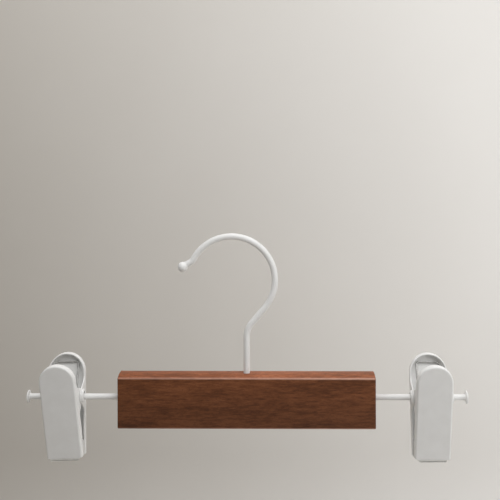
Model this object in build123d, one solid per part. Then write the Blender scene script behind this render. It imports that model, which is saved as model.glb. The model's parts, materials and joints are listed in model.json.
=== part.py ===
from build123d import *
import os
from math import acos, atan2, ceil, cos, hypot, pi, radians, sin, sqrt, tan

# Skirt hanger: a swivelling wire hook, a wooden bar, a steel rod in each end of the bar and a
# spring clip that slides and swings on each rod. Millimetres, +Z up, X along the bar, the front
# faces -Y. The origin is where the hook rests on the rail: the inner top of its round part.

# Hanger as a whole
overall_length = 279.0  # over the heads of the two rods
stem_offset = 9.5  # the stem and the middle of the bar, to the right of the hook's circle
bar_drop = 84.4  # from the rail's top down to the top of the bar
rod_drop = 15.4  # from the top of the bar down to the axis of the rods

# Hook of round wire
wire_diameter = 4.0
hook_radius = 27.5  # of the round part, at the middle of the wire
slant_angle = 49.3  # of the straight run below the round part, from level
stem_bend_radius = 14.0
mouth_angle = 151.0  # where the round part ends, from +X
tip_bend_radius = 6.0
tip_bend_angle = 30.0
tip_run = 5.6  # straight wire between the tip's bend and the middle of the ball
ball_diameter = 6.35
foot_diameter = 6.5  # peened end that keeps the stem in the bar
foot_height = 1.6
foot_rounding = 0.5

# Washer between the foot and the wood
washer_diameter = 9.5
washer_thickness = 1.0
stem_play = 0.08
foot_play = 0.05

# Wooden bar
bar_length = 162.0
bar_thickness = 15.0
bar_height = 33.2
bar_crown = 1.4  # how far the arched top falls from its middle to its front and back edges
bar_edge_radius = 0.8
bar_back_corner_radius = 1.6
recess_diameter = 10.0  # under the bar, for the foot and its washer
recess_depth = 9.0

# Steel rods
rod_diameter = 3.7
rod_insert = 30.0  # length of rod inside the bar
rod_fit = 0.02
head_diameter = 7.8
head_thickness = 1.1
head_rounding = 0.3

# Clips on the rods
clip_place_share = 0.74  # of the way from the bar to the rod's head
left_lean = -2.75  # the left clip hangs a little askew on its rod
right_lean = 0.0

# Pressed steel legs of a clip: the front leg, and the back leg that fits over its walls
sheet = 0.8
front_width = 22.4
leg_gap = 0.12  # between the walls of the two legs
leg_rise = 24.0  # from the rod's axis up to the finger end
leg_fall = 38.0  # from the rod's axis down to the jaw
finger_depth = 16.1  # outer face to the mid-plane at the finger end
jaw_depth = 4.0  # the same at the jaw
inner_bend_radius = 0.5
flange_depth = 4.5  # side wall round the finger end
neck_rise = 7.5  # where the flange widens to the ear
waist_depth = 4.5
waist_fall = 10.0
close_fall = 22.0  # where the walls of the two legs come together
wall_gap = 1.2  # from these walls to the mid-plane
ear_radius = 4.4

# Pivot sleeve, a tubular rivet
sleeve_diameter = 6.0
pivot_fit = 0.05
rod_play = 0.06
flare_gap = 0.08
flare_thickness = 1.4
flare_width = 1.15
flare_rounding = 0.95

# Torsion spring
spring_wire = 1.2
coil_play = 0.25
coil_outer_place = 7.4  # from the middle of the clip to the outer arms
coil_inner_place = 1.9  # the same to the inner arms
whole_turns = 2
bridge_rise = 18.2  # height of the bridge that bears on the back leg
bridge_corner_radius = 2.0
arm_rise = 16.0  # height where the inner arms bear on the front leg
bearing_gap = 0.15

# Jaw pads
pad_play = 0.1
pad_rise = 9.4  # height of the pad inside the leg
lip_height = 1.4
lip_inset = 2.0  # from the sides of the leg
lip_corner_share = 0.9  # of the lip's height
lip_gap = 0.1
jaw_gap = 0.05  # from each pad to the mid-plane

# How far every cut runs past what it cuts
overrun = 1.0

# Places that follow from the sizes above
wire_radius = wire_diameter / 2
rod_radius = rod_diameter / 2
sleeve_radius = sleeve_diameter / 2
hook_centre_z = wire_radius - hook_radius
bar_top_z = -bar_drop
bar_bottom_z = bar_top_z - bar_height
rod_z = bar_top_z - rod_drop
recess_top_z = bar_bottom_z + recess_depth
foot_top_z = recess_top_z - washer_thickness - foot_play
front_half = front_width / 2
back_half = front_half + leg_gap + sheet
sleeve_half = back_half + flare_gap + flare_thickness
largest_lean = radians(max(abs(left_lean), abs(right_lean)))
bore_radius = (rod_radius + sleeve_half * sin(largest_lean)) / cos(largest_lean) + rod_play
rod_free_start = bar_length / 2
rod_free_end = overall_length / 2 - head_thickness
clip_travel = rod_free_end - rod_free_start - 2 * sleeve_half
clip_place = rod_free_start + sleeve_half + clip_travel * clip_place_share
face_slope = (finger_depth - jaw_depth) / (leg_rise + leg_fall)
face_stretch = hypot(1, face_slope)  # a thickness square to the face, taken along Y
coil_radius = sleeve_radius + coil_play + spring_wire / 2


# Round bar along X, from one end to the other
def rod_along_x(radius, start, end):
    return extrude(Plane.YZ.offset(start) * Circle(radius), end - start)


# Face in the YZ plane from points of depth and height, on the front (-1) or the back (+1)
def side_profile(points, side):
    return Plane.YZ * make_face(Polyline([(side * depth, z) for depth, z in points], close=True))


# Depth of a leg's outer face at a height above the rod's axis
def face_depth(z):
    return jaw_depth + face_slope * (z + leg_fall)


# Depth of a leg's inner face
def inner_depth(z):
    return face_depth(z) - sheet * face_stretch


def hook_path():
    start_angle = slant_angle - 90
    stem = stem_offset
    arc = CenterArc((0, hook_centre_z), hook_radius, start_angle, mouth_angle - start_angle)
    low = arc @ 0
    corner = Vector(stem, low.Y - (low.X - stem) * tan(radians(slant_angle)))
    cut = stem_bend_radius * tan(radians(-start_angle) / 2)
    below = Vector(stem, corner.Y - cut)
    above = corner + (low - corner).normalized() * cut
    foot = Vector(stem, foot_top_z - foot_height / 2)
    stem_line = Line(foot, below)
    bend = TangentArc(below, above, tangent=(0, 1))
    slant = Line(above, low)
    reach = hook_radius + tip_bend_radius
    angle = radians(mouth_angle)
    bend_centre = (reach * cos(angle), hook_centre_z + reach * sin(angle))
    tip_bend = CenterArc(bend_centre, tip_bend_radius, mouth_angle + 180, -tip_bend_angle)
    tip_end = tip_bend @ 1 + (tip_bend % 1) * tip_run
    tip = Line(tip_bend @ 1, tip_end)
    return Plane.XZ * Curve([stem_line, bend, slant, arc, tip_bend, tip])


def hook_wire():
    path = hook_path()
    wire = Wire(path.edges())
    ends = [wire @ 0, wire @ 1]
    foot_end = min(ends, key=lambda point: point.Z)
    ball_end = max(ends, key=lambda point: point.Z)
    section = Plane(origin=foot_end, z_dir=(0, 0, 1)) * Circle(wire_radius)
    body = sweep(section, path=path)
    foot = Pos(stem_offset, 0, foot_top_z - foot_height / 2) * Cylinder(foot_diameter / 2, foot_height)
    foot = fillet(foot.edges().group_by(Axis.Z)[0], foot_rounding)
    return body + foot + Pos(*ball_end) * Sphere(ball_diameter / 2)


def hook_washer():
    ring = Circle(washer_diameter / 2) - Circle(wire_radius + stem_play)
    return Pos(stem_offset, 0, recess_top_z - washer_thickness) * extrude(ring, washer_thickness)


# Section of the bar: a rectangle with an arched top
def bar_section():
    half = bar_thickness / 2
    shoulder_z = bar_top_z - bar_crown
    crown = ThreePointArc((half, shoulder_z), (0, bar_top_z), (-half, shoulder_z))
    front, back = (-half, bar_bottom_z), (half, bar_bottom_z)
    return make_face([crown, Polyline([(-half, shoulder_z), front, back, (half, shoulder_z)])])


def wood_bar():
    bar = extrude(Plane.YZ * bar_section(), bar_length / 2, both=True)
    back_corners = bar.edges().filter_by(Axis.Z).sort_by(Axis.Y)[-2:]
    bar = fillet(back_corners, bar_back_corner_radius)
    front_corners = bar.edges().filter_by(Axis.Z).sort_by(Axis.Y)[:2]
    bottom = bar.faces().sort_by(Axis.Z)[0]
    top = bar.faces().sort_by(Axis.Z)[-1]
    bar = fillet(front_corners + bottom.edges() + top.edges(), bar_edge_radius)
    bar = Pos(stem_offset, 0, 0) * bar
    stem_hole = Cylinder(wire_radius + stem_play, bar_height + 2 * overrun)
    recess = Cylinder(recess_diameter / 2, recess_depth + overrun)
    bar -= Pos(stem_offset, 0, (bar_top_z + bar_bottom_z) / 2) * stem_hole
    bar -= Pos(stem_offset, 0, recess_top_z - (recess_depth + overrun) / 2) * recess
    for side in (-1, 1):
        start = side * (rod_free_start - rod_insert)
        hole = rod_along_x(rod_radius + rod_fit, start, side * (rod_free_start + overrun))
        bar -= Pos(stem_offset, 0, rod_z) * hole
    return bar


def steel_rod(side):
    head_start = side * rod_free_end
    head = rod_along_x(head_diameter / 2, head_start, side * overall_length / 2)
    head = fillet(head.edges(), head_rounding)
    rod_start = side * (rod_free_start - rod_insert)
    rod = rod_along_x(rod_radius, rod_start, head_start + side * head_thickness / 2)
    return Pos(stem_offset, 0, rod_z) * (rod + head)


# Outline of a leg seen from the front: straight sides and a half-round finger end
def leg_outline(half, inset, below):
    middle = leg_rise - half
    height = middle + leg_fall + below
    straight = Pos(0, middle - height / 2) * Rectangle(2 * (half - inset), height)
    return Plane.XZ * (straight + Pos(0, middle) * Circle(half - inset))


# Side of a leg with its free edges, and the ear round the pivot with its neck
def leg_profile(side):
    neck = (face_depth(neck_rise) - flange_depth, neck_rise)
    waist = (waist_depth, -waist_fall)
    jaw = [(jaw_depth, -leg_fall), (wall_gap, -leg_fall), (wall_gap, -close_fall)]
    finger = [(finger_depth - flange_depth, leg_rise), (finger_depth, leg_rise)]
    neck_line = Edge.make_line(*[(side * depth, z) for depth, z in (neck, waist)])
    ear = Plane.YZ * make_hull([Edge.make_circle(ear_radius), neck_line])
    return side_profile(jaw + [waist, neck] + finger, side) + ear


# Rounds the long edges of the outer face, all but the one at the jaw
def round_face(block, side):
    face = block.faces().sort_by(lambda f: f.normal_at().Y * side)[-1]
    edges = face.edges().filter_by(lambda e: e.center().Z > -leg_fall + overrun)
    return fillet(edges, sheet + inner_bend_radius)


# Space inside a leg's walls
def leg_hollow(side, half):
    low = -leg_fall - overrun
    high = leg_rise + overrun
    behind = -finger_depth
    points = [(behind, low), (inner_depth(low), low), (inner_depth(high), high), (behind, high)]
    across = extrude(side_profile(points, side), half, both=True)
    return across & extrude(leg_outline(half, sheet, overrun), 2 * finger_depth, both=True)


# Pressed leg: a tray with a flat outer face, walls all round but at the jaw, and an ear on each side
def clip_leg(side, half):
    block = extrude(leg_profile(side), half, both=True)
    block &= extrude(leg_outline(half, 0, 0), 2 * finger_depth, both=True)
    hole = rod_along_x(sleeve_radius + pivot_fit, -half - overrun, half + overrun)
    return round_face(block, side) - leg_hollow(side, half) - hole


# Tube through both pairs of ears, with its ends flared over the outer pair
def pivot_sleeve():
    flare_start = sleeve_half - flare_thickness
    sleeve = rod_along_x(sleeve_radius, -sleeve_half, sleeve_half)
    for side in (-1, 1):
        flare = rod_along_x(sleeve_radius + flare_width, side * flare_start, side * sleeve_half)
        outer_rim = flare.edges().filter_by(GeomType.CIRCLE).sort_by(lambda e: e.center().X * side)[-1]
        sleeve += fillet(outer_rim, flare_rounding)
    return sleeve - rod_along_x(bore_radius, -sleeve_half - overrun, sleeve_half + overrun)


# Pad inside the jaw of a leg, with the lip that covers the edges of the steel
def jaw_pad(side, half):
    top = -leg_fall + pad_rise
    lip_top = -leg_fall - lip_gap
    lip_low = lip_top - lip_height
    wedge = [(jaw_gap, lip_top), (inner_depth(-leg_fall), lip_top), (inner_depth(-leg_fall), -leg_fall)]
    wedge += [(inner_depth(top), top), (jaw_gap, top)]
    pad = extrude(side_profile(wedge, side), half - sheet - pad_play, both=True)
    section = [(jaw_gap, lip_low), (face_depth(lip_low), lip_low)]
    section += [(face_depth(lip_top), lip_top), (jaw_gap, lip_top)]
    lip = extrude(side_profile(section, side), half - lip_inset, both=True)
    corners = lip.edges().filter_by(Axis.Y).group_by(Axis.Z)[0]
    return pad + fillet(corners, lip_height * lip_corner_share)


# Point of the coil at an angle that grows from the back round below to the front
def coil_point(x, angle):
    return Vector(x, coil_radius * cos(angle), -coil_radius * sin(angle))


# Two arcs from p0 to p1 that keep the directions t0 and t1
def biarc(p0, t0, p1, t1):
    v = p1 - p0
    t = t0 + t1
    k = 2 * (1 - t0.dot(t1))
    d = (sqrt(v.dot(t) ** 2 + k * v.dot(v)) - v.dot(t)) / k
    q0 = p0 + t0 * d
    q1 = p1 - t1 * d
    middle = (q0 + q1) / 2
    return [TangentArc(p0, middle, tangent=t0), TangentArc(middle, p1, tangent=(q1 - q0).normalized())]


# Angle on the coil where a straight arm to a point of depth and height leaves it, at the back
def leaving_angle(depth, rise):
    return acos(coil_radius / hypot(depth, rise)) - atan2(rise, depth)


# One half of the spring, from the bridge's corner down, round the coil and up the front arm
def spring_half(side, bridge_depth, arm_depth):
    start = leaving_angle(bridge_depth, bridge_rise)
    end = pi - leaving_angle(arm_depth, arm_rise) + 2 * pi * whole_turns
    steps = ceil((end - start) / (pi / 2))
    advance = (coil_inner_place - coil_outer_place) / (end - start)
    stations = []
    for i in range(steps + 1):
        angle = start + (end - start) * i / steps
        x = coil_outer_place + advance * (angle - start)
        drift = advance if 0 < i < steps else 0
        direction = Vector(side * drift, -coil_radius * sin(angle), -coil_radius * cos(angle))
        stations.append((coil_point(side * x, angle), direction.normalized()))
    edges = []
    for (p0, t0), (p1, t1) in zip(stations, stations[1:]):
        edges += biarc(p0, t0, p1, t1)
    arm_end = Vector(side * coil_inner_place, -arm_depth, arm_rise)
    return stations[0], edges, Line(stations[-1][0], arm_end)


def spring_path():
    off_face = (spring_wire / 2 + bearing_gap) * face_stretch
    bridge_depth = inner_depth(bridge_rise) - off_face
    arm_depth = inner_depth(arm_rise) - off_face
    edges = []
    feet = {}
    for side in (-1, 1):
        (foot, _), coil, arm = spring_half(side, bridge_depth, arm_depth)
        feet[side] = foot
        edges += coil + [arm]
    corners = [Vector(side * coil_outer_place, bridge_depth, bridge_rise) for side in (-1, 1)]
    bridge = FilletPolyline([feet[-1], *corners, feet[1]], radius=bridge_corner_radius)
    return Wire.combine(edges + bridge.edges())[0]


# Least gap between stretches of the spring's wire that aren't neighbours along it
def spring_gap(path):
    count = ceil(path.length / (spring_wire / 4))
    points = [path @ (i / count) for i in range(count + 1)]
    apart = ceil(pi * coil_radius / (path.length / count))
    pairs = ((i, j) for i in range(len(points)) for j in range(i + apart, len(points)))
    return min((points[i] - points[j]).length for i, j in pairs) - spring_wire


def torsion_spring():
    path = spring_path()
    print("spring wire length", round(path.length, 2), "least gap", round(spring_gap(path), 2))
    section = Plane(origin=path @ 0, z_dir=path % 0) * Circle(spring_wire / 2)
    spring = sweep(section, path=path)
    print("spring volume over section times length", round(spring.volume / (section.area * path.length), 4))
    return spring


def clip_pieces():
    return {
        "front_leg": clip_leg(-1, front_half),
        "back_leg": clip_leg(1, back_half),
        "pivot_sleeve": pivot_sleeve(),
        "spring": torsion_spring(),
        "front_pad": jaw_pad(-1, front_half),
        "back_pad": jaw_pad(1, back_half),
    }


def hanger_nodes():
    nodes = {"hook_wire": hook_wire(), "hook_washer": hook_washer(), "wood_bar": wood_bar()}
    pieces = clip_pieces()
    for name, side, lean in (("left", -1, left_lean), ("right", 1, right_lean)):
        nodes[name + "_rod"] = steel_rod(side)
        place = Pos(stem_offset + side * clip_place, 0, rod_z) * Rot(0, lean, 0)
        for piece, shape in pieces.items():
            nodes[name + "_" + piece] = place * shape
    return nodes


os.makedirs("parts", exist_ok=True)
for node, shape in hanger_nodes().items():
    export_step(shape, "parts/" + node + ".step")
print("clip place", round(clip_place, 3), "travel", round(clip_travel, 3), "bore", round(bore_radius, 3))
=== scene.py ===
import json
from math import acos, atan2, cos, degrees, hypot, pi, radians, sin, tan
import bmesh
import bpy
from mathutils import Matrix, Vector


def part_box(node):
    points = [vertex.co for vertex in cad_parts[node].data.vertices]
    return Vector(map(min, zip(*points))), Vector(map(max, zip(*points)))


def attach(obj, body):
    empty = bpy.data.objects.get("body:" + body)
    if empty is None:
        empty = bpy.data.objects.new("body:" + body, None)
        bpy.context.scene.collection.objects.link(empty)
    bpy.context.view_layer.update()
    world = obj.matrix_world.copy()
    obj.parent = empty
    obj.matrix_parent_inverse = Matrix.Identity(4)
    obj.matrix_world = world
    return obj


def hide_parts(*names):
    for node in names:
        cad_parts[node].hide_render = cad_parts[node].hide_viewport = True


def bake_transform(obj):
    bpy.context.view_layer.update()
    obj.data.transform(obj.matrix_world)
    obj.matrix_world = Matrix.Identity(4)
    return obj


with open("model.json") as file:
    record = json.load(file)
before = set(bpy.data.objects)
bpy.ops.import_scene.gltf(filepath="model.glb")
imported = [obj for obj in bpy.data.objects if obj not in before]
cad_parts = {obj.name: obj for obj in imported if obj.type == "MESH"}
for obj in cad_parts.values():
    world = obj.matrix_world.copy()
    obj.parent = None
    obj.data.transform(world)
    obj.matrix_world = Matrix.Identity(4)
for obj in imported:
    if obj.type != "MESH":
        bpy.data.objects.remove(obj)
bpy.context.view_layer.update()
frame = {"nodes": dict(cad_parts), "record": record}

scene = bpy.context.scene
mm = 0.001  # pieces are drawn in millimetres and scaled when they are finished
samePlace = 0.001  # in millimetres, how close two points are that count as one
sideOf = {"left": -1, "right": 1}

# Where things hang, in millimetres from the point where the hook rests on its rail
hanger = {
    "stemX": 9.5,
    "barTop": -84.4,
    "barHeight": 33.2,
    "crown": 1.4,  # how far the bar's arched top falls to its front and back edges
    "barLength": 162.0,
    "barThickness": 15.0,
    "rodZ": -99.8,
    "endToEnd": 279.0,
    "recess": 9.0,  # depth of the pocket under the bar
    "washer": 1.0,  # thickness
    "wire": 2.0,  # radius of the hook's wire
    "stemBore": 2.08,  # radius of the hole round it, in the bar and the washer
    "rodInside": 30.0,  # how far the rods are driven into the bar
    "clipAway": 116.948,  # clips from the stem, along the rods
    "lean": {"left": -2.75, "right": 0.0},
}
barBottom = hanger["barTop"] - hanger["barHeight"]
clipPlace = {}
for name, side in sideOf.items():
    spot = (hanger["stemX"] + side * hanger["clipAway"], 0, hanger["rodZ"])
    clipPlace[name] = Matrix.Translation(spot) @ Matrix.Rotation(radians(hanger["lean"][name]), 4, "Y")


def vertsIn(geometry):
    return [g for g in geometry if isinstance(g, bmesh.types.BMVert)]


def edgesIn(geometry):
    return [g for g in geometry if isinstance(g, bmesh.types.BMEdge)]


def pointsOf(edges):
    return list({v for e in edges for v in e.verts})


# Loose ring of edges, the section of a wire
def makeRing(bm, radius, sides, place):
    verts = bmesh.ops.create_circle(bm, radius=radius, segments=sides, matrix=place)["verts"]
    return list({e for v in verts for e in v.link_edges})


# Pulls edges straight on and returns the new ones
def pull(bm, edges, move):
    grown = bmesh.ops.extrude_edge_only(bm, edges=edges)["geom"]
    fresh = set(vertsIn(grown))
    bmesh.ops.translate(bm, verts=list(fresh), vec=move)
    return [e for e in edgesIn(grown) if set(e.verts) <= fresh]


# Takes edges round a bend, or down a coil where advance moves them along its axis too
def bend(bm, edges, centre, axis, turn, steps, advance=0):
    shift = Vector(axis).normalized() * advance / steps
    swept = bmesh.ops.spin(
        bm, geom=pointsOf(edges) + edges, cent=centre, axis=axis, dvec=shift, angle=radians(turn), steps=steps
    )
    return edgesIn(swept["geom_last"])


# Pulls a ring on in steps of (distance, new radius), which shape an end, a collar or a ball
def shape(bm, ring, centre, direction, radius, steps):
    along = Vector(direction).normalized()
    place = Vector(centre)
    for distance, newRadius in steps:
        ring = pull(bm, ring, along * distance)
        place = place + along * distance
        size = Vector((1, 1, 1)) * newRadius / radius
        bmesh.ops.scale(bm, verts=pointsOf(ring), vec=size, space=Matrix.Translation(-place))
        radius = newRadius
    return ring


def capRing(bm, ring):
    bmesh.ops.edgeloop_fill(bm, edges=ring)


# Turned shape about the X axis, from its outline as (along, radius)
def turned(bm, outline, closed, steps):
    verts = [bm.verts.new((along, 0, radius)) for along, radius in outline]
    pairs = list(zip(verts, verts[1:])) + ([(verts[-1], verts[0])] if closed else [])
    edges = [bm.edges.new(pair) for pair in pairs]
    bmesh.ops.spin(
        bm, geom=verts + edges, cent=(0, 0, 0), axis=(1, 0, 0), angle=2 * pi, steps=steps, use_merge=True
    )
    bmesh.ops.remove_doubles(bm, verts=bm.verts, dist=samePlace)


# Rounds the sharp edges whose middle passes a test
def roundEdges(bm, radius, segments, test=None):
    bmesh.ops.recalc_face_normals(bm, faces=bm.faces)
    sharp = [e for e in bm.edges if len(e.link_faces) == 2 and abs(e.calc_face_angle(0)) > radians(30)]
    chosen = [e for e in sharp if test is None or test((e.verts[0].co + e.verts[1].co) / 2)]
    bmesh.ops.bevel(
        bm, geom=chosen, offset=radius, segments=segments, profile=0.5, affect="EDGES", material=-1
    )


# Stretch of a closed loop of vertices, both ends with it
def stretch(loop, first, last):
    i, j = loop.index(first), loop.index(last)
    return loop[i:j + 1] if i <= j else loop[i:] + loop[:j + 1]


# Makes a round hole in a flat face, which becomes two faces that meet at two vertices of its outline
def pierce(bm, face, ringVerts, first=None, last=None):
    face.normal_update()
    outline = [loop.vert for loop in face.loops]
    first = first or outline[0]
    last = last or outline[len(outline) // 2]
    middle = sum((v.co for v in ringVerts), Vector()) / len(ringVerts)
    if (ringVerts[0].co - middle).cross(ringVerts[1].co - middle).dot(face.normal) < 0:
        ringVerts = ringVerts[::-1]
    nearFirst = min(ringVerts, key=lambda v: (v.co - first.co).length)
    nearLast = min(ringVerts, key=lambda v: (v.co - last.co).length)
    bmesh.ops.delete(bm, geom=[face], context="FACES_ONLY")
    bm.faces.new(stretch(outline, first, last) + stretch(ringVerts, nearFirst, nearLast)[::-1])
    bm.faces.new(stretch(outline, last, first) + stretch(ringVerts, nearLast, nearFirst)[::-1])


# Makes the object: wall gives a sheet its thickness, edge softens what is still sharp
def finishPiece(name, bm, finish, place=None, wall=0, edge=0, mirror=False):
    if mirror:
        bmesh.ops.mirror(bm, geom=bm.verts[:] + bm.edges[:] + bm.faces[:], axis="X", merge_dist=samePlace)
        bmesh.ops.remove_doubles(bm, verts=bm.verts, dist=samePlace)
    bmesh.ops.recalc_face_normals(bm, faces=bm.faces)
    for face in bm.faces:
        face.smooth = True
    mesh = bpy.data.meshes.new(name)
    bm.to_mesh(mesh)
    bm.free()
    mesh.materials.append(finish)
    piece = bpy.data.objects.new(name, mesh)
    scene.collection.objects.link(piece)
    if wall:
        thick = piece.modifiers.new("wall", "SOLIDIFY")
        thick.thickness = wall
        thick.offset = -1
        thick.use_even_offset = True
    if edge:
        soft = piece.modifiers.new("edge", "BEVEL")
        soft.width = edge
        soft.segments = 2
        soft.limit_method = "ANGLE"
        soft.angle_limit = radians(38)
        soft.use_clamp_overlap = False
    piece.modifiers.new("shading", "WEIGHTED_NORMAL").keep_sharp = True
    settled = piece.evaluated_get(bpy.context.evaluated_depsgraph_get())
    piece.data = bpy.data.meshes.new_from_object(settled)
    piece.data.name = name
    piece.modifiers.clear()
    piece.data.transform(Matrix.Scale(mm, 4) @ (place or Matrix()))
    return piece


# Puts a piece in place of its solid, handed to its body, or left loose in the scene when a partner body
# shares it, and reports how well the two agree
def standFor(piece, node, body, partner=None):
    corners = [v.co for v in piece.data.vertices]
    low = [min(c[i] for c in corners) for i in range(3)]
    high = [max(c[i] for c in corners) for i in range(3)]
    solidLow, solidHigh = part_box(node)
    off = max(max(abs(low[i] - solidLow[i]), abs(high[i] - solidHigh[i])) for i in range(3))
    if partner:
        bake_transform(piece)
    else:
        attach(piece, body)
    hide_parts(node)
    faces = len(piece.data.polygons)
    print(piece.name, "made,", faces, "faces, box within", round(off / mm, 2), "mm of its solid")


# New node material with a Principled shader, and short ways to add and join nodes
class Finish:
    def __init__(self, name):
        self.material = bpy.data.materials.new(name)
        self.material.use_nodes = True
        self.tree = self.material.node_tree
        self.shader = self.tree.nodes["Principled BSDF"]
        coordinates = self.add("ShaderNodeTexCoord")
        self.place = coordinates.outputs["Object"]

    def add(self, kind, **settings):
        node = self.tree.nodes.new(kind)
        for key, value in settings.items():
            setattr(node, key, value)
        return node

    def join(self, source, target):
        self.tree.links.new(source, target)

    def set(self, **values):
        for key, value in values.items():
            self.shader.inputs[key.replace("_", " ")].default_value = value

    def mapped(self, scale, offset=(0, 0, 0)):
        node = self.add("ShaderNodeMapping")
        node.inputs["Scale"].default_value = scale
        node.inputs["Location"].default_value = offset
        self.join(self.place, node.inputs["Vector"])
        return node.outputs["Vector"]

    # Joins results to the shader's own inputs
    def feed(self, **sources):
        for key, source in sources.items():
            self.join(source, self.shader.inputs[key.replace("_", " ")])

    def noise(self, vector, scale, detail=3, roughness=0.55, distortion=0):
        node = self.add("ShaderNodeTexNoise")
        node.inputs["Scale"].default_value = scale
        node.inputs["Detail"].default_value = detail
        node.inputs["Roughness"].default_value = roughness
        node.inputs["Distortion"].default_value = distortion
        self.join(vector, node.inputs["Vector"])
        return node.outputs["Fac"]

    def ramp(self, factor, *stops):
        node = self.add("ShaderNodeValToRGB")
        elements = node.color_ramp.elements
        while len(elements) < len(stops):
            elements.new(0.5)
        for element, (position, colour) in zip(elements, stops):
            element.position = position
            element.color = (*colour, 1)
        self.join(factor, node.inputs["Fac"])
        return node.outputs["Color"]

    def span(self, value, low, high, newLow=0.0, newHigh=1.0):
        node = self.add("ShaderNodeMapRange")
        for key, number in (("From Min", low), ("From Max", high), ("To Min", newLow), ("To Max", newHigh)):
            node.inputs[key].default_value = number
        self.join(value, node.inputs["Value"])
        return node.outputs["Result"]

    def maths(self, operation, a, b=0.0):
        node = self.add("ShaderNodeMath", operation=operation)
        for value, socket in ((a, node.inputs[0]), (b, node.inputs[1])):
            if isinstance(value, bpy.types.NodeSocket):
                self.join(value, socket)
            else:
                socket.default_value = value
        return node.outputs[0]

    def mix(self, factor, a, b, blend="MIX"):
        node = self.add("ShaderNodeMix", data_type="RGBA", blend_type=blend)
        for value, socket in ((factor, node.inputs[0]), (a, node.inputs[6]), (b, node.inputs[7])):
            if isinstance(value, bpy.types.NodeSocket):
                self.join(value, socket)
            elif isinstance(value, (int, float)):
                socket.default_value = value
            else:
                socket.default_value = (*value, 1)
        return node.outputs[2]

    def bump(self, height, depth):
        node = self.add("ShaderNodeBump")
        node.inputs["Strength"].default_value = 1.0
        node.inputs["Distance"].default_value = depth
        self.join(height, node.inputs["Height"])
        self.join(node.outputs["Normal"], self.shader.inputs["Normal"])

    def split(self, vector):
        node = self.add("ShaderNodeSeparateXYZ")
        self.join(vector, node.inputs[0])
        return node.outputs


woodLook = {
    "figure": (13, 50, 60),  # how tightly each pattern runs along, through and up the bar
    "grain": (120, 600, 760),
    "dash": (240, 1500, 1900),
    "pit": (900, 2400, 2600),
    "deep": (0.096, 0.0295, 0.0085),
    "middle": (0.147, 0.0465, 0.0145),
    "pale": (0.205, 0.070, 0.025),
    "pore": (0.052, 0.0145, 0.005),
    "paintedTopLight": (1.75, 1.72, 2.1),  # painted light: the top face is made lighter and redder, standing in for light from above; the bottom face gets the same lift
    "wearAndHighlight": (0.58, 0.33, 0.245),  # stain rubbed thin along the edges, together with a painted highlight there
    "wearAndHighlightAlong": (-0.07, 0.09, 0.50, 1.0),  # from and to in metres, and the share of wear and painted highlight at each, more to the right where the painted highlight stands for light from the right
    "wearAndHighlightReach": (0.0010, 0.0006),  # metres from the edge, where the wear and painted highlight start and are full
    "paintedTopLightReach": (0.0005, 0.0003),  # the same for the top and bottom faces that are painted lighter
    "paintedLightTop": 1.20,  # painted light: the wood is lighter near the top of the front and darker below, standing in for light from above that falls off down the bar
    "paintedShadeLow": 0.76,
    "roughness": (0.43, 0.58),
}


def stainedWood():
    look = woodLook
    wood = Finish("stained wood")
    broad = wood.noise(wood.mapped(look["figure"], (0.4, 0, 0.1)), 1, 3, 0.5, 0.5)
    mottle = wood.noise(wood.mapped(look["grain"]), 1, 7, 0.74, 0.25)
    tone = wood.maths("ADD", wood.maths("MULTIPLY", broad, 0.30), wood.maths("MULTIPLY", mottle, 0.70))
    colour = wood.ramp(tone, (0.42, look["deep"]), (0.5, look["middle"]), (0.58, look["pale"]))
    dashes = wood.noise(wood.mapped(look["dash"], (0, 0.3, 0.7)), 1, 3, 0.5)
    dashMask = wood.span(dashes, 0.60, 0.68)
    pores = wood.noise(wood.mapped(look["pit"]), 1, 2, 0.5)
    poreMask = wood.span(pores, 0.56, 0.70)
    marks = wood.maths("MULTIPLY", wood.maths("MAXIMUM", dashMask, poreMask), 0.6)
    colour = wood.mix(marks, colour, look["pore"])
    places = wood.split(wood.place)
    # painted light: lighter near the top of the bar, darker towards its bottom
    paintedFalloff = wood.span(places[2], barBottom * mm, hanger["barTop"] * mm, look["paintedShadeLow"], look["paintedLightTop"])
    shade = wood.add("ShaderNodeCombineColor")
    for socket in shade.inputs[:3]:
        wood.join(paintedFalloff, socket)
    colour = wood.mix(1.0, colour, shade.outputs[0], "MULTIPLY")
    half = hanger["barThickness"] / 2 * mm
    squared = wood.maths("POWER", wood.maths("DIVIDE", places[1], half), 2.0)
    fall = wood.maths("MULTIPLY", squared, hanger["crown"] * mm)
    arch = wood.maths("SUBTRACT", hanger["barTop"] * mm, fall)
    fromArch = wood.maths("SUBTRACT", arch, places[2])
    fromTop = wood.maths("MINIMUM", fromArch, wood.maths("SUBTRACT", places[2], barBottom * mm))
    fromFront = wood.maths("SUBTRACT", half, wood.maths("ABSOLUTE", places[1]))
    # painted light: a lighter top face for light from above, with the same lift on the bottom face
    paintedTopLight = wood.span(fromTop, *look["paintedTopLightReach"])
    colour = wood.mix(paintedTopLight, colour, wood.mix(1.0, colour, look["paintedTopLight"], "MULTIPLY"))
    # rubbed-thin stain along the long edges, together with a painted highlight on them that grows towards the
    # right
    corner = wood.span(wood.maths("ADD", fromTop, fromFront), *look["wearAndHighlightReach"])
    wearAndHighlightMask = wood.maths("MULTIPLY", corner, wood.span(mottle, 0.3, 0.7, 0.5, 0.95))
    wearAndHighlightMask = wood.maths("MULTIPLY", wearAndHighlightMask, wood.span(places[0], *look["wearAndHighlightAlong"]))
    colour = wood.mix(wearAndHighlightMask, colour, look["wearAndHighlight"])
    wood.feed(Base_Color=colour, Roughness=wood.span(mottle, 0.3, 0.7, *look["roughness"]))
    wood.set(Specular_IOR_Level=0.35)
    wood.bump(wood.maths("SUBTRACT", mottle, marks), 0.00005)
    return wood.material


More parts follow.
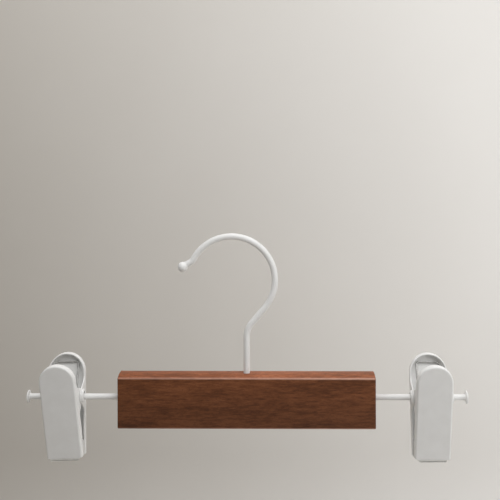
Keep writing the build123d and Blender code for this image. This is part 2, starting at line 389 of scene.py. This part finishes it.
coatLook = {"colour": (0.885, 0.882, 0.87), "thin": (0.855, 0.85, 0.835), "roughness": (0.46, 0.55)}


def whiteCoat():
    coat = Finish("white powder coat")
    cloud = coat.noise(coat.mapped((1, 1, 1)), 110, 4)
    colour = coat.mix(coat.span(cloud, 0.35, 0.65), coatLook["thin"], coatLook["colour"])
    coat.feed(Base_Color=colour, Roughness=coat.span(cloud, 0.3, 0.7, *coatLook["roughness"]))
    coat.bump(coat.noise(coat.mapped((1, 1, 1)), 1300, 2), 0.000018)
    return coat.material


steelLook = {
    "dark": (0.40, 0.395, 0.38),
    "bright": (0.62, 0.615, 0.60),
    "cloud": 420,  # how fine its stains are
    "roughness": (0.40, 0.55),
}
zincLook = {
    "dark": (0.40, 0.40, 0.39),
    "bright": (0.58, 0.58, 0.56),
    "cloud": 640,
    "roughness": (0.42, 0.62),
}


def bareMetal(name, look):
    metal = Finish(name)
    cloud = metal.noise(metal.mapped((1, 1, 1)), look["cloud"], 5)
    colour = metal.ramp(cloud, (0.3, look["dark"]), (0.7, look["bright"]))
    metal.feed(Base_Color=colour, Roughness=metal.span(cloud, 0.3, 0.7, *look["roughness"]))
    metal.set(Metallic=1.0)
    return metal.material


padLook = {"colour": (0.85, 0.84, 0.815), "dull": (0.80, 0.785, 0.755)}


def jawPlastic():
    pad = Finish("white jaw pad")
    cloud = pad.noise(pad.mapped((1, 1, 1)), 350, 4)
    pad.feed(Base_Color=pad.ramp(cloud, (0.3, padLook["dull"]), (0.7, padLook["colour"])))
    pad.set(Roughness=0.55)
    pad.bump(pad.noise(pad.mapped((1, 1, 1)), 2400, 2), 0.00002)
    return pad.material


finishes = {
    "stained_wood": stainedWood(),
    "white_coat": whiteCoat(),
    "spring_steel": bareMetal("spring steel", steelLook),
    "zinc_steel": bareMetal("dull zinc", zincLook),
    "jaw_pad": jawPlastic(),
}
for part in frame["record"]["subparts"]:
    node = frame["nodes"][part["node"]]
    node.data.materials.clear()
    node.data.materials.append(finishes[part["material_slot"]])
print("finishes made")

hookLook = {
    "radius": 27.5,  # of the round part
    "slant": 49.3,  # of the straight run below it, from level
    "stemBend": 14.0,
    "mouth": 151.0,  # where the round part ends
    "tipBend": 6.0,
    "tipAngle": 30.0,
    "tipRun": 5.6,
    "ball": 3.175,
    "collarStart": 3.45,  # back from the middle of the ball
    "collarSteps": ((0.35, 0.03), (0.35, 0.12), (0.3, 0.27)),  # run, and how far it swells
    "footPlay": 0.05,  # below the washer
    "footHeight": 1.6,
    "footRadius": 3.25,
    "footInset": 0.7,  # from the foot's radius to its flat underside
    "footSteps": ((0.06, 0.4), (0.2, 0.15), (0.3, 0), (0.84, 0), (0.14, 0.12), (0.06, 0.35)),  # rise, inset
    "neckSteps": ((0.0, 0.25), (0.08, 0.07), (0.17, 0)),  # rise, and how far outside the wire
    "sides": 28,
    "stemBendSteps": 14,
    "roundSteps": 60,
    "tipBendSteps": 10,
}


def makeHook():
    look = hookLook
    wire, stem, radius = hanger["wire"], hanger["stemX"], look["radius"]
    circleZ = wire - radius
    start = look["slant"] - 90
    lowX, lowZ = radius * cos(radians(start)), circleZ + radius * sin(radians(start))
    cornerZ = lowZ - (lowX - stem) * tan(radians(look["slant"]))
    bendZ = cornerZ - look["stemBend"] * tan(radians(-start) / 2)
    bm = bmesh.new()
    washerLow = barBottom + hanger["recess"] - hanger["washer"]
    footLow = washerLow - look["footPlay"] - look["footHeight"]
    under = look["footRadius"] - look["footInset"]
    ring = makeRing(bm, under, look["sides"], Matrix.Translation((stem, 0, footLow)))
    capRing(bm, ring)
    steps = [(rise, look["footRadius"] - inset) for rise, inset in look["footSteps"]]
    steps += [(rise, wire + swell) for rise, swell in look["neckSteps"]]
    ring = shape(bm, ring, (stem, 0, footLow), (0, 0, 1), under, steps)
    reached = footLow + sum(rise for rise, radius in steps)
    ring = pull(bm, ring, (0, 0, bendZ - reached))
    ring = bend(bm, ring, (stem + look["stemBend"], 0, bendZ), (0, 1, 0), -start, look["stemBendSteps"])
    above = Vector((lowX, 0, lowZ)) - Vector((stem, 0, cornerZ))
    run = above.normalized() * (above.length - look["stemBend"] * tan(radians(-start) / 2))
    ring = pull(bm, ring, run)
    ring = bend(bm, ring, (0, 0, circleZ), (0, 1, 0), start - look["mouth"], look["roundSteps"])
    mouth = radians(look["mouth"])
    reach = radius + look["tipBend"]
    tipCentre = Vector((reach * cos(mouth), 0, circleZ + reach * sin(mouth)))
    ring = bend(bm, ring, tipCentre, (0, 1, 0), look["tipAngle"], look["tipBendSteps"])
    heading = mouth + pi / 2 - radians(look["tipAngle"])  # of the wire as it leaves the tip's bend
    along = Vector((cos(heading), 0, sin(heading)))
    end = sum((v.co for v in pointsOf(ring)), Vector()) / look["sides"]
    ball = end + along * look["tipRun"]
    steps = [(look["tipRun"] - look["collarStart"], wire)]
    steps += [(run, wire + swell) for run, swell in look["collarSteps"]]
    reached = sum(run for run, radius in steps) - look["tipRun"]
    for angle in range(128, 0, -10):  # round the ball, from its collar to its tip
        onBall = look["ball"] * cos(radians(angle))
        steps.append((onBall - reached, look["ball"] * sin(radians(angle))))
        reached = onBall
    ring = shape(bm, ring, end, along, wire, steps)
    bmesh.ops.pointmerge(bm, verts=pointsOf(ring), merge_co=ball + along * look["ball"])
    return finishPiece("hook", bm, finishes["white_coat"])


standFor(makeHook(), "hook_wire", "hook")

washerLook = {"outer": 4.75, "edge": 0.18, "sides": 40}


def makeWasher():
    look = washerLook
    inner, outer = hanger["stemBore"], look["outer"]
    high = barBottom + hanger["recess"]
    low = high - hanger["washer"]
    bm = bmesh.new()
    turned(bm, [(low, inner), (high, inner), (high, outer), (low, outer)], True, look["sides"])
    bmesh.ops.rotate(bm, verts=bm.verts, cent=(0, 0, 0), matrix=Matrix.Rotation(-pi / 2, 3, "Y"))
    bmesh.ops.translate(bm, verts=bm.verts, vec=(hanger["stemX"], 0, 0))
    roundEdges(bm, look["edge"], 2)
    return finishPiece("washer", bm, finishes["zinc_steel"])


standFor(makeWasher(), "hook_washer", "bar")

barLook = {
    "edge": 0.8,
    "backCorner": 1.6,
    "recessRadius": 5.0,
    "rodHole": 1.87,
    "mouthEdge": 0.22,
    "holeSides": 40,
    "crownPlaces": (0.35, 0.58, 0.8, 1.0),  # shares of half the thickness where the arch bends
}


# Hole in the face of the bar that looks along a direction, with its ring of edges
def barHole(bm, direction, radius, middle):
    normal = Vector(direction)
    face = max(bm.faces, key=lambda f: f.normal.dot(normal) * f.calc_area())
    place = Matrix.Translation(middle) @ normal.to_track_quat("Z", "Y").to_matrix().to_4x4()
    verts = bmesh.ops.create_circle(bm, radius=radius, segments=barLook["holeSides"], matrix=place)["verts"]
    pierce(bm, face, verts)
    bm.normal_update()
    return [e for e in {e for v in verts for e in v.link_edges} if set(e.verts) <= set(verts)]


def makeBar():
    look = barLook
    stem = hanger["stemX"]
    half = hanger["barThickness"] / 2
    right = [(half * share, hanger["barTop"] - hanger["crown"] * share ** 2) for share in look["crownPlaces"]]
    right[0] = (right[0][0], hanger["barTop"])  # flat in the middle, where the stem goes in
    outline = [(half, barBottom)] + right[::-1] + [(-y, z) for y, z in right] + [(-half, barBottom)]
    start = stem - hanger["barLength"] / 2
    bm = bmesh.new()
    end = bm.faces.new([bm.verts.new((start, y, z)) for y, z in outline])
    grown = bmesh.ops.extrude_face_region(bm, geom=[end], use_keep_orig=True)["geom"]
    bmesh.ops.translate(bm, verts=vertsIn(grown), vec=(hanger["barLength"], 0, 0))
    bmesh.ops.recalc_face_normals(bm, faces=bm.faces)
    upright = [e for e in bm.edges if abs(e.verts[0].co.z - e.verts[1].co.z) > hanger["barHeight"] / 2]
    backCorners = [e for e in upright if e.verts[0].co.y > 0]
    bmesh.ops.bevel(
        bm, geom=backCorners, offset=look["backCorner"], segments=6, profile=0.5, affect="EDGES", material=-1
    )
    roundEdges(bm, look["edge"], 4)
    bm.normal_update()
    stemRing = barHole(bm, (0, 0, 1), hanger["stemBore"], (stem, 0, hanger["barTop"]))
    recessRing = barHole(bm, (0, 0, -1), look["recessRadius"], (stem, 0, barBottom))
    stemLow = pull(bm, stemRing, (0, 0, barBottom + hanger["recess"] - hanger["barTop"]))
    recessHigh = pull(bm, recessRing, (0, 0, hanger["recess"]))
    bmesh.ops.bridge_loops(bm, edges=stemLow + recessHigh)
    for side in sideOf.values():
        mouth = (stem + side * hanger["barLength"] / 2, 0, hanger["rodZ"])
        rodRing = barHole(bm, (side, 0, 0), look["rodHole"], mouth)
        capRing(bm, pull(bm, rodRing, (-side * hanger["rodInside"], 0, 0)))
    return finishPiece("woodBar", bm, finishes["stained_wood"], edge=look["mouthEdge"])


standFor(makeBar(), "wood_bar", "bar")

rodLook = {
    "radius": 1.85,
    "point": (0.7, 0.5),  # length and depth of the bevel on the hidden end
    "neck": ((0.75, 0), (0.42, 0.07), (0.16, 0.27), (0, 0.75)),  # below the head, and outside the rod
    "headRadius": 3.9,
    "headThickness": 1.1,
    "headSeat": 0.05,  # slope under the head
    "headFall": 0.1,  # from the flat top to the rim
    "headFlat": 0.55,  # share of the radius that is flat
    "headEdge": 0.32,
    "sides": 36,
}


# Nail with a flat head, along +X from the middle of the bar, or mirrored for the left side
def makeRod(name, side):
    look = rodLook
    tip = hanger["endToEnd"] / 2
    seat = tip - look["headThickness"]
    start = hanger["barLength"] / 2 - hanger["rodInside"]
    run, depth = look["point"]
    radius, rim = look["radius"], look["headRadius"]
    outline = [(start, 0), (start, radius - depth), (start + run, radius)]
    outline += [(seat - below, radius + swell) for below, swell in look["neck"]]
    outline += [(seat + look["headSeat"], rim), (tip - look["headFall"], rim)]
    outline += [(tip, rim * look["headFlat"]), (tip, 0)]
    bm = bmesh.new()
    turned(bm, outline, False, look["sides"])
    roundEdges(bm, look["headEdge"], 4, lambda c: hypot(c.y, c.z) > rim * 0.9)
    bmesh.ops.scale(bm, verts=bm.verts, vec=(side, 1, 1))
    place = Matrix.Translation((hanger["stemX"], 0, hanger["rodZ"]))
    return finishPiece(name + "Rod", bm, finishes["white_coat"], place)


legLook = {
    "sheet": 0.8,
    "bendInside": 0.5,
    "rise": 24.0,  # from the rod up to the finger end
    "fall": 38.0,  # from the rod down to the jaw
    "fingerDepth": 16.1,
    "jawDepth": 4.0,
    "flange": 4.5,
    "neckRise": 7.5,  # where the flange widens to the ear
    "waist": (4.5, -10.0),
    "close": (1.2, -22.0),
    "straightBelow": 28.0,  # from here to the jaw the sides keep their depth
    "earRadius": 4.4,
    "hole": 3.05,
    "half": {"front": 11.2, "back": 12.12},  # half the width of each leg
    "softNeck": 2.6,  # how far the outline's corners are rounded
    "softWaist": 2.2,
    "softClose": 3.5,
    "softCorner": 0.25,  # lift of the lower corners
    "edge": 0.17,
    "domeSteps": 16,
    "bendSteps": 6,
    "holeSides": 40,
}
faceSlope = (legLook["fingerDepth"] - legLook["jawDepth"]) / (legLook["rise"] + legLook["fall"])


# How far a leg's outer face stands from the middle of the clip at a height above the rod
def faceDepth(z):
    return legLook["jawDepth"] + faceSlope * (z + legLook["fall"])


# Point where a line from outside touches the ear, as an angle in the plane of depth and height
def touchAngle(depth, z, way):
    return atan2(z, depth) + way * acos(legLook["earRadius"] / hypot(depth, z))


# Free edge of a leg's side from above the neck down to below the waist, one vertex after another
def earOutline(bm, x, top, bottom):
    look = legLook
    neck = (faceDepth(look["neckRise"]) - look["flange"], look["neckRise"])
    first = touchAngle(*neck, 1)
    last = touchAngle(*look["waist"], -1) + 2 * pi
    ear = look["earRadius"]
    neckVert = bm.verts.new((x, *neck))
    reached = bm.verts.new((x, ear * cos(first), ear * sin(first)))
    bm.edges.new((top, neckVert))
    bm.edges.new((neckVert, reached))
    for angle in (pi - first, last - pi):
        turn = bmesh.ops.spin(
            bm, geom=[reached], cent=(x, 0, 0), axis=(1, 0, 0), angle=angle, steps=8
        )
        reached = vertsIn(turn["geom_last"])[0]
    lower = [reached, bm.verts.new((x, *look["waist"])), bm.verts.new((x, *look["close"])), bottom]
    for pair in zip(lower, lower[1:]):
        bm.edges.new(pair)
    soft = ((neckVert, look["softNeck"]), (lower[1], look["softWaist"]), (lower[2], look["softClose"]))
    for corner, cut in soft:
        bmesh.ops.bevel(
            bm, geom=[corner], offset=cut, segments=6, profile=0.5, affect="VERTICES", material=-1
        )
    chain, seen = [top], {top}
    while chain[-1] != bottom:
        steps = [e.other_vert(chain[-1]) for e in chain[-1].link_edges if not e.link_faces]
        following = [v for v in steps if v not in seen]
        chain.append(following[0])
        seen.add(following[0])
    return chain


# Pressed leg: a tray with a round finger end, side walls with an ear, and no wall at the jaw
def makeLeg(side, half):
    look = legLook
    outer = look["sheet"] + look["bendInside"]
    middle = look["rise"] - half
    bm = bmesh.new()
    hub = bm.verts.new((0, 0, middle))
    brink = bm.verts.new((half - outer, 0, middle))
    bm.edges.new((hub, brink))
    fold = (half - outer, outer, middle)
    bent = bmesh.ops.spin(bm, geom=[brink], cent=fold, axis=(0, 0, 1), angle=pi / 2, steps=look["bendSteps"])
    lip = vertsIn(bent["geom_last"])[0]
    bm.edges.new((lip, bm.verts.new((half, look["flange"], middle))))
    section = bm.verts[:] + bm.edges[:]
    centre, steps = (0, 0, middle), look["domeSteps"]
    bmesh.ops.spin(bm, geom=section, cent=centre, axis=(0, 1, 0), angle=-pi / 2, steps=steps)
    bmesh.ops.remove_doubles(bm, verts=bm.verts, dist=samePlace)
    across = [e for e in bm.edges if all(abs(v.co.z - middle) < samePlace for v in e.verts)]
    row = [e for e in across if len(e.link_faces) == 1]
    straight, jaw = -look["straightBelow"], -look["fall"]
    levels = (0, straight, jaw)
    reached = middle
    for level in levels:
        row = pull(bm, row, (0, 0, level - reached))
        reached = level
    leaning = (0, -1, faceSlope, faceDepth(0))
    bm.transform(Matrix(((1, 0, 0, 0), leaning, (0, 0, 1, 0), (0, 0, 0, 1))))
    sideVerts = [v for v in bm.verts if abs(v.co.x - half) < samePlace and v.co.z < middle + samePlace]

    def atLevel(z, pick):
        return pick([v for v in sideVerts if abs(v.co.z - z) < samePlace], key=lambda v: v.co.y)

    free = {z: atLevel(z, min) for z in (middle, *levels)}
    inner = {z: atLevel(z, max) for z in (middle, *levels)}
    for z in (straight, jaw):
        free[z].co.y = look["close"][0]
    bmesh.ops.delete(bm, geom=[free[0]], context="VERTS")
    chain = earOutline(bm, half, free[middle], free[straight])
    wall = bm.faces.new([inner[0], inner[middle]] + chain + [inner[straight]])
    rear = min(chain, key=lambda v: v.co.y)
    ringPlace = Matrix.Translation((half, 0, 0)) @ Matrix.Rotation(pi / 2, 4, "Y")
    ring = bmesh.ops.create_circle(bm, radius=look["hole"], segments=look["holeSides"], matrix=ringPlace)
    pierce(bm, wall, ring["verts"], inner[0], rear)
    for vert in bm.verts:
        if abs(vert.co.z - jaw) < samePlace:
            outward = max(0.0, min(1.0, (vert.co.x - (half - outer)) / outer))
            vert.co.z += look["softCorner"] * outward ** 2
    bmesh.ops.mirror(bm, geom=bm.verts[:] + bm.edges[:] + bm.faces[:], axis="X", merge_dist=samePlace)
    bmesh.ops.remove_doubles(bm, verts=bm.verts, dist=samePlace)
    bmesh.ops.scale(bm, verts=bm.verts, vec=(1, side, 1))
    bmesh.ops.recalc_face_normals(bm, faces=bm.faces)
    plate = max(bm.faces, key=lambda f: f.calc_area())
    if plate.normal.y * side < 0:
        bmesh.ops.reverse_faces(bm, faces=bm.faces)
    return bm


sleeveLook = {
    "radius": 3.0,
    "half": 13.6,
    "flare": 4.15,
    "flareThickness": 1.4,
    "bore": 2.565,
    "rimRound": 0.95,
    "mouthRound": 0.3,
    "edge": 0.12,
    "sides": 40,
}


def makeSleeve():
    look = sleeveLook
    end, under = look["half"], look["half"] - look["flareThickness"]
    outline = [(-end, look["bore"]), (-end, look["flare"]), (-under, look["flare"]), (-under, look["radius"])]
    outline += [(-x, r) for x, r in outline[::-1]]
    bm = bmesh.new()
    turned(bm, outline, True, look["sides"])
    nearEnd = (end + under) / 2
    roundEdges(bm, look["rimRound"], 6, lambda c: abs(c.x) > nearEnd and hypot(c.y, c.z) > look["radius"])
    roundEdges(bm, look["mouthRound"], 3, lambda c: abs(c.x) > nearEnd and hypot(c.y, c.z) < look["radius"])
    return bm


springLook = {
    "wire": 0.6,
    "coil": 3.85,
    "outer": 7.4,  # from the middle of the clip to the outer arms
    "inner": 1.9,
    "turns": 2,
    "bridgeRise": 18.2,
    "corner": 2.0,
    "armRise": 16.0,
    "gap": 0.15,
    "tipSteps": ((0.12, 0.06), (0.08, 0.18)),  # run, and how far inside the wire's radius
    "coilSteps": 78,
    "sides": 12,
}


# Angle on the coil where a straight arm to a point of depth and height leaves it
def leavingAngle(depth, rise):
    return acos(springLook["coil"] / hypot(depth, rise)) - atan2(rise, depth)


# One half of the spring, from the middle of its bridge down, round the coil and up the front arm
def makeSpring():
    look = springLook
    coil, corner = look["coil"], look["corner"]
    off = (legLook["sheet"] + look["wire"] + look["gap"]) * hypot(1, faceSlope)
    bridge = Vector((look["outer"], faceDepth(look["bridgeRise"]) - off, look["bridgeRise"]))
    armDepth = faceDepth(look["armRise"]) - off
    start = leavingAngle(bridge.y, bridge.z)
    end = pi - leavingAngle(armDepth, look["armRise"]) + 2 * pi * look["turns"]
    coilStart = Vector((look["outer"], coil * cos(start), -coil * sin(start)))
    down = (coilStart - bridge).normalized()
    bm = bmesh.new()
    place = Matrix.Translation((0, bridge.y, bridge.z)) @ Matrix.Rotation(pi / 2, 4, "Y")
    ring = makeRing(bm, look["wire"], look["sides"], place)
    ring = pull(bm, ring, (look["outer"] - corner, 0, 0))
    centre = bridge - Vector((corner, 0, 0)) + down * corner
    ring = bend(bm, ring, centre, Vector((1, 0, 0)).cross(down), 90, 8)
    ring = pull(bm, ring, down * ((coilStart - bridge).length - corner))
    inwards = look["inner"] - look["outer"]
    ring = bend(bm, ring, (0, 0, 0), (1, 0, 0), degrees(start - end), look["coilSteps"], inwards)
    coilEnd = Vector((look["inner"], coil * cos(end), -coil * sin(end)))
    arm = Vector((look["inner"], -armDepth, look["armRise"])) - coilEnd
    steps = [(run, look["wire"] - inset) for run, inset in look["tipSteps"]]
    straight = arm.normalized() * (arm.length - sum(run for run, radius in steps))
    ring = pull(bm, ring, straight)
    ring = shape(bm, ring, coilEnd + straight, arm, look["wire"], steps)
    capRing(bm, ring)
    return bm


jawPadLook = {
    "play": 0.1,
    "rise": 9.4,
    "lipHeight": 1.4,
    "lipInset": 2.0,
    "lipGap": 0.1,
    "jawGap": 0.05,
    "lipRound": 1.2,
    "edge": 0.14,
}


# Of the faces whose middle passes a test, the one that looks most nearly along a direction
def faceLooking(bm, direction, test):
    normal = Vector(direction)
    bm.normal_update()
    chosen = [f for f in bm.faces if test(f.calc_center_median())]
    return max(chosen, key=lambda f: f.normal.dot(normal))


# Wedge that lines the inside of a jaw, with a lip below that covers the edge of the steel
def makePad(side, half):
    look = jawPadLook
    low, high = -legLook["fall"], -legLook["fall"] + look["rise"]
    wall = legLook["sheet"] * hypot(1, faceSlope)
    width, lipWidth = half - legLook["sheet"] - look["play"], half - look["lipInset"]
    bm = bmesh.new()
    bmesh.ops.create_cube(bm, size=2)
    for vert in bm.verts:
        z = high if vert.co.z > 0 else low - look["lipGap"]
        deep = faceDepth(max(z, low)) - wall
        vert.co = (vert.co.x * width, deep if vert.co.y > 0 else look["jawGap"], z)
    for x in (-lipWidth, lipWidth):
        everything = bm.verts[:] + bm.edges[:] + bm.faces[:]
        bmesh.ops.bisect_plane(bm, geom=everything, plane_co=(x, 0, 0), plane_no=(1, 0, 0))
    under = faceLooking(bm, (0, 0, -1), lambda c: abs(c.x) < lipWidth / 2)
    grown = bmesh.ops.extrude_face_region(bm, geom=[under])["geom"]
    bmesh.ops.delete(bm, geom=[under], context="FACES_ONLY")
    bmesh.ops.translate(bm, verts=vertsIn(grown), vec=(0, 0, -look["lipHeight"]))
    front = faceLooking(bm, (0, 1, 0), lambda c: abs(c.x) < lipWidth / 2 and c.z < low - look["lipGap"])
    grown = bmesh.ops.extrude_face_region(bm, geom=[front])["geom"]
    bmesh.ops.delete(bm, geom=[front], context="FACES_ONLY")
    for vert in vertsIn(grown):
        vert.co.y = faceDepth(vert.co.z)
    bmesh.ops.remove_doubles(bm, verts=bm.verts, dist=samePlace)
    floor = low - look["lipGap"] - look["lipHeight"]
    bmesh.ops.recalc_face_normals(bm, faces=bm.faces)
    lowest = [e for e in bm.edges if all(v.co.z < floor + samePlace for v in e.verts)]
    ends = [e for e in lowest if all(abs(abs(v.co.x) - lipWidth) < samePlace for v in e.verts)]
    bmesh.ops.bevel(
        bm, geom=ends, offset=look["lipRound"], segments=5, profile=0.5, affect="EDGES", material=-1
    )
    bmesh.ops.scale(bm, verts=bm.verts, vec=(1, side, 1))
    return bm


coat = finishes["white_coat"]
for name, side in sideOf.items():
    place = clipPlace[name]
    standFor(makeRod(name, side), name + "_rod", "bar")
    sleeve = finishPiece(name + "Sleeve", makeSleeve(), coat, place, edge=sleeveLook["edge"])
    standFor(sleeve, name + "_pivot_sleeve", name + "_sleeve")
    for legName, legSide in (("front", -1), ("back", 1)):
        half = legLook["half"][legName]
        body = name + "_clip_" + legName
        title = name + legName.title()
        legMesh = makeLeg(legSide, half)
        wall, edge = legLook["sheet"], legLook["edge"]
        leg = finishPiece(title + "Leg", legMesh, coat, place, wall, edge)
        standFor(leg, name + "_" + legName + "_leg", body)
        padMesh = makePad(legSide, half)
        pad = finishPiece(title + "Pad", padMesh, finishes["jaw_pad"], place, edge=jawPadLook["edge"])
        standFor(pad, name + "_" + legName + "_pad", body)
    spring = finishPiece(name + "Spring", makeSpring(), finishes["spring_steel"], place, mirror=True)
    bodies = (name + "_clip_back", name + "_clip_front")
    standFor(spring, name + "_spring", bodies[0], bodies[1])

# Pale room: one surface that runs from the floor up into the wall, seen from its front only, with painted
# light that makes it darker to the left and lighter to the right
stageLook = {
    "wallY": 0.20,
    "floorZ": -0.34,
    "cove": 0.12,
    "halfWidth": 1.6,
    "height": 1.1,
    "front": -1.6,
    "coveSteps": 16,
    "shadedLeftColour": (0.61, 0.575, 0.525),
    "litRightColour": (0.88, 0.86, 0.83),
    "blend": (-0.22, 0.30),  # from where to where one colour goes over into the other
    "cloud": 6,
}


def makeStage():
    bm = bmesh.new()
    y, z, r = stageLook["wallY"], stageLook["floorZ"], stageLook["cove"]
    start = bm.verts.new((0, stageLook["front"], z))
    low = bm.verts.new((0, y - r, z))
    bm.edges.new((start, low))
    steps = stageLook["coveSteps"]
    turn = bmesh.ops.spin(bm, geom=[low], cent=(0, y - r, z + r), axis=(1, 0, 0), angle=pi / 2, steps=steps)
    last = vertsIn(turn["geom_last"])[0]
    bm.edges.new((last, bm.verts.new((0, y, stageLook["height"]))))
    bmesh.ops.translate(bm, verts=bm.verts, vec=(-stageLook["halfWidth"], 0, 0))
    pull(bm, bm.edges[:], (2 * stageLook["halfWidth"], 0, 0))
    bmesh.ops.recalc_face_normals(bm, faces=bm.faces)
    if min(bm.faces, key=lambda f: f.calc_center_median().z).normal.z < 0:
        bmesh.ops.reverse_faces(bm, faces=bm.faces)
    for face in bm.faces:
        face.smooth = True
    mesh = bpy.data.meshes.new("stage")
    bm.to_mesh(mesh)
    bm.free()
    stage = bpy.data.objects.new("stage", mesh)
    scene.collection.objects.link(stage)
    paint = Finish("pale wall")
    plaster = paint.noise(paint.mapped((1, 1, 1)), stageLook["cloud"], 5)
    across = paint.maths("ADD", paint.split(paint.place)[0], paint.span(plaster, 0.3, 0.7, -0.02, 0.02))
    share = paint.span(across, *stageLook["blend"])
    # painted light on the wall: darker to the left and lighter to the right, as light falls from the right
    colour = paint.mix(share, stageLook["shadedLeftColour"], stageLook["litRightColour"])
    paint.feed(Base_Color=colour)
    paint.set(Roughness=0.9, Specular_IOR_Level=0.1)
    clear = paint.add("ShaderNodeBsdfTransparent")
    chooser = paint.add("ShaderNodeMixShader")
    facing = paint.add("ShaderNodeNewGeometry")
    paint.join(facing.outputs["Backfacing"], chooser.inputs[0])
    paint.join(paint.shader.outputs[0], chooser.inputs[1])
    paint.join(clear.outputs[0], chooser.inputs[2])
    paint.join(chooser.outputs[0], paint.tree.nodes["Material Output"].inputs["Surface"])
    mesh.materials.append(paint.material)


makeStage()

# Soft lamps round the hanger: place, what it is aimed at, size, and level of light there
middleOfHanger = (0.01, 0, -0.09)
lampLook = {
    "window": ((0.25, -0.22, 0.50), middleOfHanger, 0.55, 0.40),
    "leftSky": ((-0.35, -0.28, 0.46), middleOfHanger, 0.45, 0.27),
    "frontSky": ((0.10, -0.50, 0.35), middleOfHanger, 0.50, 0.14),
    "ceiling": ((0.05, 0.05, 0.75), middleOfHanger, 1.00, 0.24),
    "rightFill": ((0.65, -0.50, -0.05), middleOfHanger, 0.60, 0.08),
    "rightWall": ((0.50, -0.15, 0.02), (0.34, 0.20, -0.04), 0.30, 0.42),
}


def areaLamp(name):
    place, aim, size, level = lampLook[name]
    towards = Vector(place) - Vector(aim)
    data = bpy.data.lights.new(name, "AREA")
    data.shape = "DISK"
    data.size = size
    data.energy = level * pi * pi * towards.length_squared  # the same level from any distance
    lamp = bpy.data.objects.new(name, data)
    lamp.location = place
    lamp.rotation_euler = towards.to_track_quat("Z", "Y").to_euler()
    lamp.visible_camera = False
    scene.collection.objects.link(lamp)


for name in lampLook:
    areaLamp(name)

# The room's own light, and how bright the room itself looks where the stage ends
roomLook = {"colour": (1.0, 0.985, 0.965, 1), "level": 0.07, "shown": 0.80}
world = bpy.data.worlds.new("room")
scene.world = world
world.use_nodes = True
tree = world.node_tree
tree.nodes.clear()
rays = tree.nodes.new("ShaderNodeLightPath")
choose = tree.nodes.new("ShaderNodeMixShader")
out = tree.nodes.new("ShaderNodeOutputWorld")
tree.links.new(rays.outputs["Is Camera Ray"], choose.inputs[0])
for socket, strength in ((choose.inputs[1], roomLook["level"]), (choose.inputs[2], roomLook["shown"])):
    air = tree.nodes.new("ShaderNodeBackground")
    air.inputs["Color"].default_value = roomLook["colour"]
    air.inputs["Strength"].default_value = strength
    tree.links.new(air.outputs[0], socket)
tree.links.new(choose.outputs[0], out.inputs["Surface"])

cameraLook = {
    "lens": 57.72,
    "place": (0.0288, -0.5088, 0.0759),
    "yaw": 0.82,  # degrees
    "roll": 0.15,
    "shift": (-0.03, -0.26),
}
cameraData = bpy.data.cameras.new("camera")
cameraData.lens = cameraLook["lens"]
cameraData.sensor_width = 36
cameraData.shift_x, cameraData.shift_y = cameraLook["shift"]
cameraData.clip_start = 0.01
camera = bpy.data.objects.new("camera", cameraData)
camera.location = cameraLook["place"]
camera.rotation_euler = (radians(90), radians(cameraLook["roll"]), radians(cameraLook["yaw"]))
scene.collection.objects.link(camera)
scene.camera = camera
scene.view_settings.view_transform = "Standard"
print("stage, lamps and camera set")
